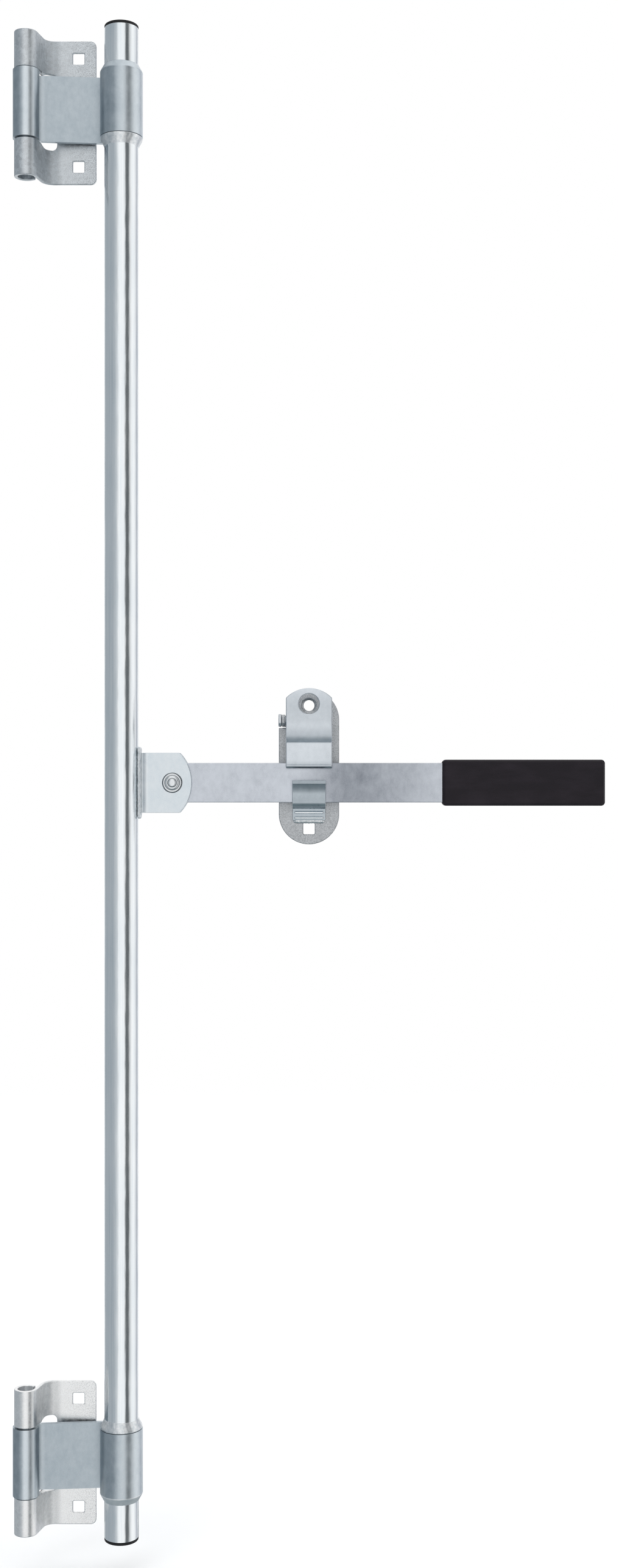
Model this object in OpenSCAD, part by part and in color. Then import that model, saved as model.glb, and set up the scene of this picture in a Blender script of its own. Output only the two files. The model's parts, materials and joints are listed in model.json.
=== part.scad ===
// Container door lock bar: a tube that swings on two bolt-on hinges,
// with a flat lift-and-turn handle that drops into a keeper on the door.
// Frame: X to the right from the hinge pins, Z up, the door face is Y = 0,
// and everything stands in front of the door on the -Y side.

/* [Bar] */
// Outer diameter of the lock bar tube
bar_d = 27; // [24:0.5:32]
// Wall of the lock bar tube
bar_wall = 2.5; // [1.5:0.1:4]
// Length of the tube without its end caps
bar_len = 1185; // [900:5:1800]
// Height of the end cap that shows past the tube
cap_rim = 2.5; // [1:0.5:6]
// Length of the end cap's plug inside the tube
cap_plug = 14; // [6:1:30]
// Clearance between the cap's plug and the tube bore
cap_fit = 0.1; // [0.05:0.05:0.3]

/* [Hinges] */
// Distance of the hinge pins and the bar from the door face
axis_depth = 20; // [19:0.5:26]
// Distance from the hinge pins to the bar
bar_offset = 75; // [70:1:110]
// Distance between the middles of the two hinges
hinge_span = 1066; // [700:2:1120]
// Thickness of the fixed leaf, clevis and keeper sheet
sheet = 3; // [2.5:0.1:3.2]
// Thickness of the swing leaf's sheet
swing_sheet = 3.4; // [2.5:0.1:3.6]
// Diameter of the hinge pin
pin_d = 13; // [11:0.5:14]
// Depth of the pin's ends inside the knuckles
pin_recess = 6; // [2:0.5:12]
// Radial clearance of the swinging knuckle on its pin
pin_fit = 0.6; // [0.3:0.05:0.8]
// Height of the swinging knuckle
knuckle_h = 54; // [44:1:60]
// Gap between neighbouring knuckles
knuckle_gap = 0.8; // [0.3:0.1:1.2]
// Height of the fixed leaf
leaf_h = 114; // [100:1:130]
// Right edge of the fixed leaf, measured from the pin
leaf_reach = 53.3; // [50:0.5:58]
// Corner radius of the fixed leaf
leaf_corner = 4.5; // [2:0.5:7]
// Angle by which the fixed leaf leaves its curl in front of the pin's middle
leave_angle = 14; // [8:1:20]
// Radius of the fixed leaf's reverse bend, at mid-sheet
reverse_bend_r = 9.5; // [6:0.5:11]
// Angle that the fixed leaf wraps round its pin
fixed_wrap = 302; // [290:1:304]
// Left edge of the relief window beside the knuckle, measured from the pin
relief_start = 10.5; // [9:0.5:12]
// Right edge of the relief window, measured from the pin
relief_reach = 22; // [20:0.5:26]
// Height of the relief window
relief_h = 60; // [57:0.5:64]
// Corner radius of the relief window
relief_corner = 4; // [2:0.5:5]
// Side of the square bolt holes
bolt_hole = 9; // [7:0.5:11]
// Corner radius of the square bolt holes
bolt_corner = 1; // [0.5:0.1:2]
// Distance from the pin to the leaf's bolt holes
bolt_reach = 39.2; // [36:0.5:42]
// Distance between the leaf's bolt holes
bolt_span = 86; // [80:1:92]
// Height of the swing leaf's plate and sleeve
sleeve_h = 52; // [40:1:53]
// Radius on the outer edge of the sleeve
sleeve_round = 2.4; // [1:0.2:2.4]
// Angle that the swing leaf wraps round the pin and round the bar
wrap = 318; // [300:1:325]
// Length of the sleeve weld along the tube
sleeve_weld_l = 8.5; // [3:0.5:10]

/* [Clevis and handle] */
// Height of the clevis
clevis_h = 47; // [40:1:60]
// Reach of the clevis past the tube wall
clevis_reach = 42; // [38:1:50]
// Radius of the clevis' free end
clevis_end_r = 34; // [30:1:45]
// Distance from the tube wall to the pivot rivet
pivot_reach = 26.9; // [25:0.1:30]
// Diameter of the rivet's shank
rivet_d = 10; // [8:0.5:12]
// Diameter of the rivet's heads
rivet_head_d = 16; // [14:0.5:19]
// Height of the rivet's heads
rivet_head_h = 3; // [2.5:0.5:5]
// Height of the rivet heads' rim
rivet_rim_h = 1; // [0.5:0.1:2]
// Diameter of the peened button on the rivet's heads
rivet_button_d = 9; // [6:0.5:12]
// Radial clearance of the handle on the rivet
rivet_fit = 0.3; // [0.2:0.05:0.5]
// Clearance between the handle and each cheek of the clevis
cheek_fit = 0.3; // [0.2:0.05:0.6]
// Radius of the clevis weld beads
clevis_weld_r = 2.5; // [2:0.1:3.5]
// Length that each weld bead runs past the clevis
clevis_weld_over = 2.5; // [0:0.5:4]
// Height of the handle's flat bar
handle_h = 31; // [26:0.5:34]
// Thickness of the handle's flat bar
handle_t = 8; // [6:0.5:9]
// Distance from the rivet to the grip
grip_start = 211.5; // [190:0.5:260]
// Length of the grip
grip_l = 127.5; // [100:0.5:150]
// Height of the grip
grip_h = 36.2; // [35:0.1:42]
// Thickness of the grip
grip_t = 14; // [12:0.5:20]
// Width of the grip's bevel
grip_bevel = 2; // [1:0.5:3]
// Corner radius of the grip
grip_corner = 3; // [1.5:0.5:8]
// End wall of the grip past the handle's flat bar
grip_end = 6; // [4:0.5:12]

/* [Keeper] */
// Distance from the rivet to the middle of the keeper
keeper_reach = 107; // [95:1:130]
// Width of the keeper's base plate
base_w = 48; // [46:0.5:56]
// Length of the keeper's base plate
base_l = 123; // [120:1:130]
// Height of the base plate's middle above the handle's middle
base_z = 12.5; // [10:0.5:14]
// Distance between the base plate's two fixing holes
base_span = 98; // [96:1:102]
// Diameter of the upper fixing hole
base_hole_d = 8.5; // [6:0.5:10]
// Diameter of the upper hole's countersink
base_sink_d = 12.4; // [11:0.2:14]
// Width of the hook
hook_w = 26; // [20:1:34]
// Clearance under the handle in the hook
hook_fit = 0.8; // [0.6:0.1:1.2]
// Clearance between the handle and the hook's and flap's faces
face_fit = 1.2; // [1:0.1:2]
// Height of the hook's foot on the base plate
hook_foot = 8; // [5:0.5:10]
// Radius of the hook's bends at mid-sheet
hook_bend_r = 4; // [3:0.1:4.2]
// Height of the hook's upright before it flares
hook_upright = 3.5; // [2:0.5:5]
// Radius of the hook's outward flare at mid-sheet
hook_flare_r = 12; // [8:0.5:13]
// Angle of the hook's outward flare
hook_flare_angle = 60; // [40:5:65]
// Straight end of the hook's and the flap's flares
flare_lip = 1; // [0.5:0.5:3]

/* [Flap] */
// Width of the flap
flap_w = 36; // [32:0.5:40]
// Height of the flap pin above the handle's middle
flap_pin_z = 48.8; // [46:0.2:50]
// Distance of the flap pin from the door face
flap_pin_depth = 26; // [25:0.5:28]
// Diameter of the flap pin
flap_pin_d = 6; // [4:0.5:6.5]
// Diameter of the flap pin's heads
flap_head_d = 10; // [8:0.5:12]
// Height of the flap pin's heads
flap_head_h = 2.4; // [1.5:0.1:4]
// Radial clearance of the flap's eye on its pin
flap_fit = 0.3; // [0.2:0.05:0.5]
// Radius of the flap's round top about its pin
flap_top_r = 25; // [23:0.5:25]
// Height of the flap's middle strip below the joggle
flap_strip = 14; // [11:0.5:15]
// Drop from the flap pin to the start of the joggle
flap_drop = 10; // [6:0.5:11]
// Radius of the flap's outward flare at mid-sheet
flap_flare_r = 6; // [5:0.5:8]
// Angle of the flap's outward flare
flap_flare_angle = 45; // [30:5:70]
// Outer radius of the eye behind the flap
eye_r = 5; // [4.5:0.1:5.5]
// Length of the eye behind the flap
eye_l = 30; // [24:0.5:31]
// Side gap between the eye and the base plate's ears
ear_gap = 0.5; // [0.3:0.1:1]
// Radius of the ears round the flap pin
ear_r = 4.5; // [4.2:0.1:4.8]
// Bend radius of the ears at mid-sheet
ear_bend_r = 3; // [2.5:0.5:4]
// Diameter of the bolt access hole in the flap
access_d = 16; // [12:0.5:18]

/* [Hidden] */
$fn = 64;
soft_fn = 32;
past = 1;
cut_depth = 3 * axis_depth;
bend_step = 5;
// The curls are rolled this much tight, then reamed to a true bore
ream = 0.1;

half_sheet = sheet / 2;
hinge_z = hinge_span / 2;
bar_r = bar_d / 2;
bar_bore_r = bar_r - bar_wall;

// Fixed leaf: the curl's mid-sheet radius, the slope to it and the reverse bend at its foot
fixed_curl_r = pin_d / 2 + half_sheet - ream;
plate_drop = axis_depth - half_sheet;
reverse_turn = 90 - leave_angle;
bend_rise = reverse_bend_r * (1 - cos(reverse_turn));
slope_run = (plate_drop + fixed_curl_r * sin(leave_angle) - bend_rise) / sin(reverse_turn);
bend_reach = (fixed_curl_r + reverse_bend_r) * cos(leave_angle) + slope_run * sin(leave_angle);
notch_h = knuckle_h + 2 * knuckle_gap;
leaf_margin = 2 * (fixed_curl_r + sheet);

// Swing leaf: one strip on the common rear tangent of the pin's and the bar's curls
swing_bore_r = pin_d / 2 + pin_fit;
swing_curl_r = swing_bore_r + swing_sheet / 2 - ream;
sleeve_curl_r = bar_r + swing_sheet / 2 - ream;
strip_angle = asin((sleeve_curl_r - swing_curl_r) / bar_offset);
strip_run = bar_offset * cos(strip_angle);
sleeve_r = bar_r + swing_sheet;
// The sleeve weld's shoulder, as shares of the weld's height and length
weld_swell = 0.6;
weld_flank = 0.62;

// Clevis, rivet and handle
cheek_gap = handle_t + 2 * cheek_fit;
clevis_bend_r = cheek_gap / 2 + half_sheet;
clevis_outer_r = clevis_bend_r + half_sheet;
clevis_x = bar_offset + bar_r;
clevis_bend_x = clevis_x + clevis_outer_r;
clevis_end_x = clevis_x + clevis_reach;
pivot_x = clevis_x + pivot_reach;
// The clevis welds' distance from the bar's middle, as a share of the bend's outer radius
weld_side = 0.64;
weld_out = weld_side * clevis_outer_r;
weld_x = (bar_offset + sqrt(pow(bar_r, 2) - pow(weld_out, 2)) + clevis_bend_x
    - sqrt(pow(clevis_outer_r, 2) - pow(weld_out, 2))) / 2;
handle_front = axis_depth + handle_t / 2;
grip_x = pivot_x + grip_start;

// Keeper
keeper_x = pivot_x + keeper_reach;
base_r = base_w / 2;
upper_hole_z = base_z + base_span / 2;
lower_hole_z = base_z - base_span / 2;
strip_mid = handle_front + face_fit + half_sheet;
shelf_mid_z = -handle_h / 2 - hook_fit - half_sheet;
foot_z = shelf_mid_z - hook_bend_r - hook_foot;
foot_mid = sheet + half_sheet;
shelf_run = strip_mid - foot_mid - 2 * hook_bend_r;

// Flap: the tab's middle lies in front of the eye, the strip's just in front of the handle
tab_mid = flap_pin_depth + eye_r + half_sheet;
joggle_turn = 65;
joggle_out_r = 5.5;
joggle_in_r = 2.5;
joggle_offset = tab_mid - strip_mid;
joggle_run = (joggle_offset - (joggle_out_r + joggle_in_r) * (1 - cos(joggle_turn))) / sin(joggle_turn);
eye_x = keeper_x - flap_w / 2;
left_ear_x = eye_x - ear_gap - half_sheet;
right_ear_x = eye_x + eye_l + ear_gap + half_sheet;
ear_run = flap_pin_depth - half_sheet - ear_bend_r;
ear_slit = 0.5;
window_h = 2 * (ear_r + ear_slit);

// Stations [point, heading] round one bend, from a point and its heading
function bend_stations(p, heading, turn, r) =
    let (n = ceil(abs(turn) / bend_step),
        side = sign(turn),
        centre = p + side * r * [-sin(heading), cos(heading)])
    [for (k = [1:n])
        let (a = heading + turn * k / n)
        [centre + side * r * [sin(a), -cos(a)], a]];

// Stations along a bent sheet; each step is [straight run, turn, bend radius at mid-sheet]
function fold_stations(steps, i, from) =
    i == len(steps) ? [from] :
    let (step = steps[i],
        end = from[0] + step[0] * [cos(from[1]), sin(from[1])],
        bend = step[1] == 0 ? [[end, from[1]]] : concat(
            step[0] == 0 ? [] : [[end, from[1]]],
            bend_stations(end, from[1], step[1], step[2])),
        last = bend[len(bend) - 1])
    concat([from], [for (k = [0:1:len(bend) - 2]) bend[k]], fold_stations(steps, i + 1, last));

// Points at a distance to the left of the stations
function beside(stations, distance) =
    [for (s = stations) s[0] + distance * [-sin(s[1]), cos(s[1])]];

// Bent sheet of one width and thickness that starts at the origin along +X
module fold(steps, width, thick = sheet) {
    stations = fold_stations(steps, 0, [[0, 0], 0]);
    right = beside(stations, -thick / 2);
    back = [for (k = [len(right) - 1:-1:0]) right[k]];
    linear_extrude(width) polygon(concat(beside(stations, thick / 2), back));
}

// Flat outline in X and Z, given a thickness between two depths in front of the door
module slab(back, front) {
    translate([0, -back, 0]) rotate([90, 0, 0]) linear_extrude(front - back) children();
}

// Round bar along Y between two depths in front of the door
module peg(d, back, front) {
    slab(back, front) circle(d = d);
}

// Rectangle with round corners, from its lower left corner
module round_rect(w, h, r) {
    translate([r, 0]) square([w - 2 * r, h]);
    translate([0, r]) square([w, h - 2 * r]);
    for (x = [r, w - r], z = [r, h - r])
        translate([x, z]) circle(r);
}

// Outline of a bolt hole about its middle
module bolt_square() {
    translate([-bolt_hole / 2, -bolt_hole / 2]) round_rect(bolt_hole, bolt_hole, bolt_corner, $fn = soft_fn);
}

// Places a hinge piece at the upper or the lower hinge, mirrored about the middle
module at_hinge(upper) {
    mirror([0, 0, upper ? 0 : 1]) translate([0, 0, hinge_z]) children();
}

module fixed_leaf() {
    plate_run = leaf_reach - bend_reach;
    difference() {
        intersection() {
            translate([leaf_reach, -half_sheet, -leaf_h / 2]) rotate(180)
                fold([[plate_run, reverse_turn, reverse_bend_r],
                    [slope_run, -fixed_wrap, fixed_curl_r]], leaf_h);
            slab(-past, cut_depth)
                translate([-leaf_margin, -leaf_h / 2])
                    round_rect(leaf_margin + leaf_reach, leaf_h, leaf_corner);
        }
        slab(-past, cut_depth) {
            translate([-leaf_margin, -notch_h / 2]) square([leaf_margin + relief_start + past, notch_h]);
            translate([relief_start, -relief_h / 2])
                round_rect(relief_reach - relief_start, relief_h, relief_corner);
        }
        for (z = [-bolt_span / 2, bolt_span / 2])
            slab(-past, sheet + past)
                translate([bolt_reach, z]) bolt_square();
        translate([0, -axis_depth, -leaf_h]) cylinder(d = pin_d, h = 2 * leaf_h);
    }
}

module hinge_pin() {
    pin_l = leaf_h - 2 * pin_recess;
    translate([0, -axis_depth, -pin_l / 2]) cylinder(d = pin_d, h = pin_l);
}

module swing_leaf() {
    tangent = 90 + strip_angle;
    translate([0, -axis_depth, 0]) difference() {
        union() {
            translate([swing_curl_r * cos(tangent), swing_curl_r * sin(tangent), -sleeve_h / 2])
                rotate(strip_angle) fold([[strip_run, -wrap, sleeve_curl_r]], sleeve_h, swing_sheet);
            translate([swing_curl_r * cos(tangent), swing_curl_r * sin(tangent), -knuckle_h / 2])
                rotate(180 + strip_angle) fold([[0, wrap, swing_curl_r]], knuckle_h, swing_sheet);
        }
        translate([0, 0, -leaf_h]) cylinder(r = swing_bore_r, h = 2 * leaf_h);
        translate([bar_offset, 0, -leaf_h]) cylinder(r = bar_r, h = 2 * leaf_h);
        translate([bar_offset, 0, sleeve_h / 2 - sleeve_round]) sleeve_edge();
    }
}

// Ring that rounds the sleeve's outer edge and leaves the plate behind it square
module sleeve_edge() {
    difference() {
        rotate_extrude() translate([sleeve_r - sleeve_round, 0]) difference() {
            square(sleeve_round + past);
            circle(sleeve_round);
        }
        translate([-2 * sleeve_r, bar_r - sheet, -past])
            cube([2 * sleeve_r, 2 * sleeve_r, 2 * (sleeve_round + past)]);
    }
}

module sleeve_weld() {
    shoulder = [bar_r + weld_swell * swing_sheet, -weld_flank * sleeve_weld_l];
    translate([bar_offset, -axis_depth, -sleeve_h / 2]) rotate_extrude()
        polygon([[bar_r, 0], [sleeve_r, 0], shoulder, [bar_r, -sleeve_weld_l]]);
}

module upper_fixed_leaf() { color("lightsteelblue") at_hinge(true) fixed_leaf(); }
module lower_fixed_leaf() { color("lightsteelblue") at_hinge(false) fixed_leaf(); }
module upper_hinge_pin() { color("slategray") at_hinge(true) hinge_pin(); }
module lower_hinge_pin() { color("slategray") at_hinge(false) hinge_pin(); }
module upper_swing_leaf() { color("silver") at_hinge(true) swing_leaf(); }
module lower_swing_leaf() { color("silver") at_hinge(false) swing_leaf(); }
module upper_sleeve_weld() { color("gainsboro") at_hinge(true) sleeve_weld(); }
module lower_sleeve_weld() { color("gainsboro") at_hinge(false) sleeve_weld(); }

module bar_tube() {
    color("lightslategray") translate([bar_offset, -axis_depth, -bar_len / 2]) difference() {
        cylinder(r = bar_r, h = bar_len);
        translate([0, 0, -past]) cylinder(r = bar_bore_r, h = bar_len + 2 * past);
    }
}

module end_cap(upper) {
    mirror([0, 0, upper ? 0 : 1]) translate([bar_offset, -axis_depth, bar_len / 2]) {
        cylinder(r = bar_r, h = cap_rim / 2);
        translate([0, 0, cap_rim / 2]) cylinder(r1 = bar_r, r2 = bar_r - cap_rim / 2, h = cap_rim / 2);
        translate([0, 0, -cap_plug]) cylinder(r = bar_bore_r - cap_fit, h = cap_plug + cap_rim / 4);
    }
}

module upper_end_cap() { color("black") end_cap(true); }
module lower_end_cap() { color("black") end_cap(false); }

module clevis() {
    cheek_run = clevis_end_x - clevis_bend_x;
    color("silver") difference() {
        intersection() {
            translate([clevis_end_x, -axis_depth - clevis_bend_r, -clevis_h / 2]) rotate(180)
                fold([[cheek_run, -180, clevis_bend_r], [cheek_run, 0, 0]], clevis_h);
            slab(0, cut_depth) intersection() {
                translate([clevis_x - past, -clevis_h / 2]) square([clevis_reach + 2 * past, clevis_h]);
                translate([clevis_end_x - clevis_end_r, 0]) circle(clevis_end_r);
            }
        }
        translate([pivot_x, 0, 0]) peg(rivet_d, 0, cut_depth);
    }
}

module clevis_weld(side) {
    half_l = clevis_h / 2 + clevis_weld_over;
    color("gainsboro") difference() {
        translate([weld_x, -axis_depth - side * weld_out, 0]) {
            translate([0, 0, -half_l]) cylinder(r = clevis_weld_r, h = 2 * half_l);
            for (z = [-half_l, half_l])
                translate([0, 0, z]) sphere(clevis_weld_r);
        }
        translate([bar_offset, -axis_depth, -clevis_h]) cylinder(r = bar_r, h = 2 * clevis_h);
        translate([clevis_bend_x, -axis_depth, -clevis_h / 2]) cylinder(r = clevis_outer_r, h = clevis_h);
    }
}

module clevis_front_weld() { clevis_weld(1); }
module clevis_rear_weld() { clevis_weld(-1); }

// Peened head that stands on the XY plane
module rivet_head() {
    cylinder(d = rivet_head_d, h = rivet_rim_h);
    translate([0, 0, rivet_rim_h])
        cylinder(d1 = rivet_head_d, d2 = rivet_button_d, h = (rivet_head_h - rivet_rim_h) / 2);
    cylinder(d = rivet_button_d, h = rivet_head_h);
}

module pivot_rivet() {
    half_grip = clevis_outer_r;
    color("lightgray") translate([pivot_x, -axis_depth, 0]) {
        rotate([90, 0, 0]) translate([0, 0, -half_grip]) cylinder(d = rivet_d, h = 2 * half_grip);
        for (side = [90, -90])
            rotate([side, 0, 0]) translate([0, 0, half_grip]) rivet_head();
    }
}

module handle_bar() {
    bar_run = grip_start + grip_l - grip_end;
    color("silver") translate([pivot_x, 0, 0])
        slab(axis_depth - handle_t / 2, handle_front) difference() {
            union() {
                circle(d = handle_h);
                translate([0, -handle_h / 2]) square([bar_run, handle_h]);
            }
            circle(r = rivet_d / 2 + rivet_fit);
        }
}

module handle_grip() {
    color("black") difference() {
        hull() {
            slab(axis_depth - grip_t / 2 + grip_bevel, axis_depth + grip_t / 2 - grip_bevel)
                translate([grip_x, -grip_h / 2]) round_rect(grip_l, grip_h, grip_corner, $fn = soft_fn);
            slab(axis_depth - grip_t / 2, axis_depth + grip_t / 2)
                translate([grip_x + grip_bevel, -grip_h / 2 + grip_bevel])
                    round_rect(grip_l - 2 * grip_bevel, grip_h - 2 * grip_bevel, grip_corner, $fn = soft_fn);
        }
        translate([grip_x - past, -handle_front, -handle_h / 2])
            cube([grip_l - grip_end + past, handle_t, handle_h]);
    }
}

// Ear bent forward from the base plate, drilled for the flap pin
module ear(x) {
    translate([x, 0, flap_pin_z]) difference() {
        union() {
            translate([ear_bend_r + sheet, -half_sheet, -ear_r]) rotate(180)
                fold([[sheet, 90, ear_bend_r], [ear_run, 0, 0]], 2 * ear_r);
            translate([-half_sheet, -flap_pin_depth, 0]) rotate([0, 90, 0]) cylinder(r = ear_r, h = sheet);
        }
        translate([-sheet, -flap_pin_depth, 0]) rotate([0, 90, 0]) cylinder(d = flap_pin_d, h = 2 * sheet);
    }
}

module keeper_base_plate() {
    window_x = right_ear_x + ear_bend_r - ear_run - ear_r;
    shoulder_x = left_ear_x + ear_bend_r;
    color("lightsteelblue") {
        difference() {
            slab(0, sheet) difference() {
                union() {
                    translate([keeper_x - base_r, base_z - base_l / 2 + base_r])
                        square([base_w, base_l - base_w]);
                    for (z = [base_r - base_l / 2, base_l / 2 - base_r])
                        translate([keeper_x, base_z + z]) circle(base_r);
                }
                translate([keeper_x, lower_hole_z]) bolt_square();
                translate([keeper_x, upper_hole_z]) circle(d = base_hole_d);
                translate([window_x, flap_pin_z - window_h / 2])
                    square([right_ear_x + ear_bend_r - window_x, window_h]);
                translate([shoulder_x - base_w, flap_pin_z - window_h / 2]) square([base_w, base_l]);
            }
            translate([keeper_x, -sheet, upper_hole_z]) rotate([-90, 0, 0])
                cylinder(d1 = base_sink_d, d2 = base_hole_d, h = half_sheet);
        }
        ear(left_ear_x);
        ear(right_ear_x);
    }
}

// Stands a sheet profile drawn in depth and height across the keeper's middle
module keeper_strip(width) {
    translate([keeper_x + width / 2, 0, 0]) rotate([0, 0, -90]) rotate([90, 0, 0]) children();
}

module keeper_hook() {
    color("silver") keeper_strip(hook_w)
        translate([foot_mid, foot_z, 0]) rotate(90)
            fold([[hook_foot, -90, hook_bend_r], [shelf_run, 90, hook_bend_r],
                [hook_upright, -hook_flare_angle, hook_flare_r], [flare_lip, 0, 0]], hook_w);
}

module keeper_hook_weld() {
    color("gainsboro") intersection() {
        translate([keeper_x - hook_w / 2, -sheet, foot_z]) rotate([0, 90, 0])
            cylinder(r = sheet, h = hook_w);
        translate([keeper_x - hook_w / 2, -2 * sheet, foot_z - sheet]) cube([hook_w, sheet, sheet]);
    }
}

module flap_pin() {
    left = left_ear_x - half_sheet;
    shank = right_ear_x + half_sheet - left;
    color("lightgray") translate([left, -flap_pin_depth, flap_pin_z]) rotate([0, 90, 0]) {
        cylinder(d = flap_pin_d, h = shank);
        translate([0, 0, -flap_head_h]) cylinder(d = flap_head_d, h = flap_head_h);
        translate([0, 0, shank]) cylinder(d = flap_head_d, h = flap_head_h);
    }
}

module flap_plate() {
    tab_run = flap_top_r + flap_drop;
    color("silver") difference() {
        intersection() {
            keeper_strip(flap_w)
                translate([tab_mid, flap_pin_z + flap_top_r, 0]) rotate(-90)
                    fold([[tab_run, -joggle_turn, joggle_out_r], [joggle_run, joggle_turn, joggle_in_r],
                        [flap_strip, flap_flare_angle, flap_flare_r], [flare_lip, 0, 0]], flap_w);
            slab(0, cut_depth) {
                translate([keeper_x, flap_pin_z]) circle(flap_top_r);
                translate([keeper_x - flap_w / 2, flap_pin_z - base_l]) square([flap_w, base_l]);
            }
        }
        translate([keeper_x, 0, upper_hole_z]) peg(access_d, flap_pin_depth, cut_depth);
    }
}

module flap_eye() {
    color("silver") translate([eye_x, -flap_pin_depth, flap_pin_z]) difference() {
        union() {
            rotate([0, 90, 0]) cylinder(r = eye_r, h = eye_l);
            translate([0, -eye_r, -eye_r]) cube([eye_l, eye_r, 2 * eye_r]);
        }
        translate([-past, 0, 0]) rotate([0, 90, 0])
            cylinder(r = flap_pin_d / 2 + flap_fit, h = eye_l + 2 * past);
    }
}

upper_fixed_leaf();
lower_fixed_leaf();
upper_hinge_pin();
lower_hinge_pin();
upper_swing_leaf();
lower_swing_leaf();
upper_sleeve_weld();
lower_sleeve_weld();
bar_tube();
upper_end_cap();
lower_end_cap();
clevis();
clevis_front_weld();
clevis_rear_weld();
pivot_rivet();
handle_bar();
handle_grip();
keeper_base_plate();
keeper_hook();
keeper_hook_weld();
flap_pin();
flap_plate();
flap_eye();
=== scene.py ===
# %% [markdown]
# A container door lock bar, dressed for a product picture.
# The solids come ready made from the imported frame: tube, hinges, clevis, handle and keeper.
# This lesson gives them their zinc plating and black plastic. It replaces the pieces whose real surface
# is too lively for a plain solid, which are the weld beads, the rivet and the end caps.
# It also adds two small forms: the drawn-in necks of the sleeves and the ribs on the hook's foot.

import json
import math

import bmesh
import bpy
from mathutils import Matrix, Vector, noise


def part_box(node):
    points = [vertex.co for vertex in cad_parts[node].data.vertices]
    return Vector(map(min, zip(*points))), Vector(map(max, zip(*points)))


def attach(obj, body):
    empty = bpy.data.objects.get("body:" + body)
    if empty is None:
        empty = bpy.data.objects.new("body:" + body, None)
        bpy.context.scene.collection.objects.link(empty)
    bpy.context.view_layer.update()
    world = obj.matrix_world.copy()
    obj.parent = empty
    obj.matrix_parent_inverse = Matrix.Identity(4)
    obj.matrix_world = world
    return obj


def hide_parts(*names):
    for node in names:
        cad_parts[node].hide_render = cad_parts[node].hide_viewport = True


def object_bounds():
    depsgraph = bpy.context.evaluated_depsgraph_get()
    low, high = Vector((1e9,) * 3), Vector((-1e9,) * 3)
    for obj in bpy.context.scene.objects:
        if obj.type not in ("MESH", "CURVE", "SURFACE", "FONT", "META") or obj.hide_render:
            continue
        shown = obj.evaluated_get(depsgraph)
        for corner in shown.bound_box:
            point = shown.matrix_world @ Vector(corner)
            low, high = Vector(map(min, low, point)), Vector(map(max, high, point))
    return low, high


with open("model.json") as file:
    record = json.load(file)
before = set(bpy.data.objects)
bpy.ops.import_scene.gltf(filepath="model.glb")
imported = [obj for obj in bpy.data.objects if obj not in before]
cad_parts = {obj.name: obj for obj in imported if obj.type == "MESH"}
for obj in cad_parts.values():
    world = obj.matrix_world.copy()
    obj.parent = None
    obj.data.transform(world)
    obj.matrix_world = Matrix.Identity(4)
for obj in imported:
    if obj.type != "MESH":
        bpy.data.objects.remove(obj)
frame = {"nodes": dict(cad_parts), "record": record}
cad_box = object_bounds()
MM = 0.001
scene = bpy.context.scene
print("nodes:", len(frame["nodes"]), "CAD box:", [[round(v, 4) for v in corner] for corner in cad_box])

# %% [markdown]
# The camera stands straight in front of the bar at half its height, as for a catalogue picture.
# Its distance decides how much the hinges at the ends are seen from below and from above.
# The lens follows from that distance and from the height of the picture at the bar's own depth.

# %% Camera
PICTURE_HEIGHT = 1233 * MM
CAMERA_DISTANCE = 1450 * MM
CAMERA_X = 222.4 * MM
CAMERA_Z = -1 * MM
SENSOR = 36.0

tube_low, tube_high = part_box("bar_tube")
tube_middle = (tube_low + tube_high) / 2
camera_data = bpy.data.cameras.new("front_camera")
camera_data.sensor_fit = "VERTICAL"
camera_data.sensor_height = SENSOR
camera_data.lens = SENSOR * CAMERA_DISTANCE / PICTURE_HEIGHT
camera = bpy.data.objects.new("front_camera", camera_data)
camera.location = (CAMERA_X, tube_middle.y - CAMERA_DISTANCE, CAMERA_Z)
camera.rotation_euler = (math.radians(90), 0, 0)
scene.collection.objects.link(camera)
scene.camera = camera
scene.view_settings.view_transform = "Standard"
print("lens:", round(camera_data.lens, 1), "mm")

# %% [markdown]
# Shader maths reads best as plain arithmetic, so one small class wraps a socket.
# Adding or multiplying two wires adds the Math node that does it,
# and the reflected forms let a number stand on the left, as in 1 - mask.
# Every other node comes from Wire.node: its type, its settings, then its sockets.


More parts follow.
